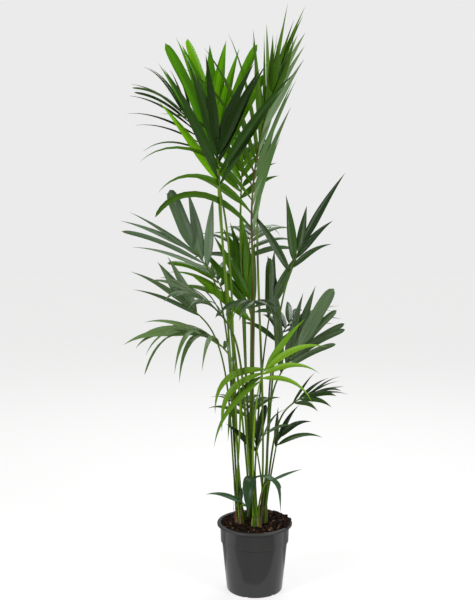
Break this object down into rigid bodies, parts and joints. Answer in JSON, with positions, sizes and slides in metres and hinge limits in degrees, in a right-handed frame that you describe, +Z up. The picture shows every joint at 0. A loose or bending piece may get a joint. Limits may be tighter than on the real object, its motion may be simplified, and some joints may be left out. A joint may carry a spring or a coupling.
{
  "type": "potted kentia palm",
  "caption": "Tall indoor kentia palm with slender stalks and arching feather fronds rising from short stems in a round tapered nursery pot.",
  "frame": {"origin": "centre of the pot's flat underside", "axes": "+Z is up, along the stems; +X is to the viewer's right in the picture, and +Y leads away from the viewer"},
  "size_m": [0.7058, 0.8449, 1.8673],
  "materials": {
    "pot": "satin dark grey plastic",
    "soil": "rough dark potting bark",
    "stem": "fibrous brown sheath",
    "stalk": "smooth green stalk",
    "leaf_lime": "young lime green leaf",
    "leaf_bright": "bright green leaf",
    "leaf_fresh": "fresh green leaf with a soft sheen",
    "leaf_middle": "green leaf with a soft sheen",
    "leaf_deep": "deep green leaf with a soft sheen",
    "leaf_dark": "dark green leaf with a soft sheen",
    "leaf_grey": "grey green leaf with a soft sheen"
  },
  "bodies": {
    "root": {"frond_arching_front": "leaf_grey", "frond_back_left": "leaf_middle", "frond_back_low": "leaf_dark", "frond_back_right": "leaf_dark", "frond_back_top": "leaf_grey", "frond_foot_front": "leaf_deep", "frond_foot_left": "leaf_deep", "frond_foot_right": "leaf_deep", "frond_inner_centre": "leaf_middle", "frond_inner_right": "leaf_dark", "frond_low_centre": "leaf_dark", "frond_low_front": "leaf_grey", "frond_low_right": "leaf_dark", "frond_middle_left": "leaf_grey", "frond_middle_right": "leaf_grey", "frond_top_back": "leaf_middle", "frond_top_centre": "leaf_bright", "frond_top_left_back": "leaf_bright", "frond_top_left_front": "leaf_deep", "frond_top_left_outer": "leaf_deep", "frond_top_right": "leaf_fresh", "frond_upper_left": "leaf_grey", "frond_upper_right": "leaf_dark", "frond_weeping_front": "leaf_grey", "frond_weeping_left": "leaf_fresh", "frond_weeping_right": "leaf_dark", "frond_young_front": "leaf_lime", "pot": "pot", "soil": "soil", "stalk_arching_front": "stalk", "stalk_back_left": "stalk", "stalk_back_low": "stalk", "stalk_back_right": "stalk", "stalk_back_top": "stalk", "stalk_foot_front": "stalk", "stalk_foot_left": "stalk", "stalk_foot_right": "stalk", "stalk_inner_centre": "stalk", "stalk_inner_right": "stalk", "stalk_low_centre": "stalk", "stalk_low_front": "stalk", "stalk_low_right": "stalk", "stalk_middle_left": "stalk", "stalk_middle_right": "stalk", "stalk_top_back": "stalk", "stalk_top_centre": "stalk", "stalk_top_left_back": "stalk", "stalk_top_left_front": "stalk", "stalk_top_left_outer": "stalk", "stalk_top_right": "stalk", "stalk_upper_left": "stalk", "stalk_upper_right": "stalk", "stalk_weeping_front": "stalk", "stalk_weeping_left": "stalk", "stalk_weeping_right": "stalk", "stalk_young_front": "stalk", "stem_back": "stem", "stem_front": "stem", "stem_left": "stem", "stem_right": "stem"}
  },
  "joints": []
}
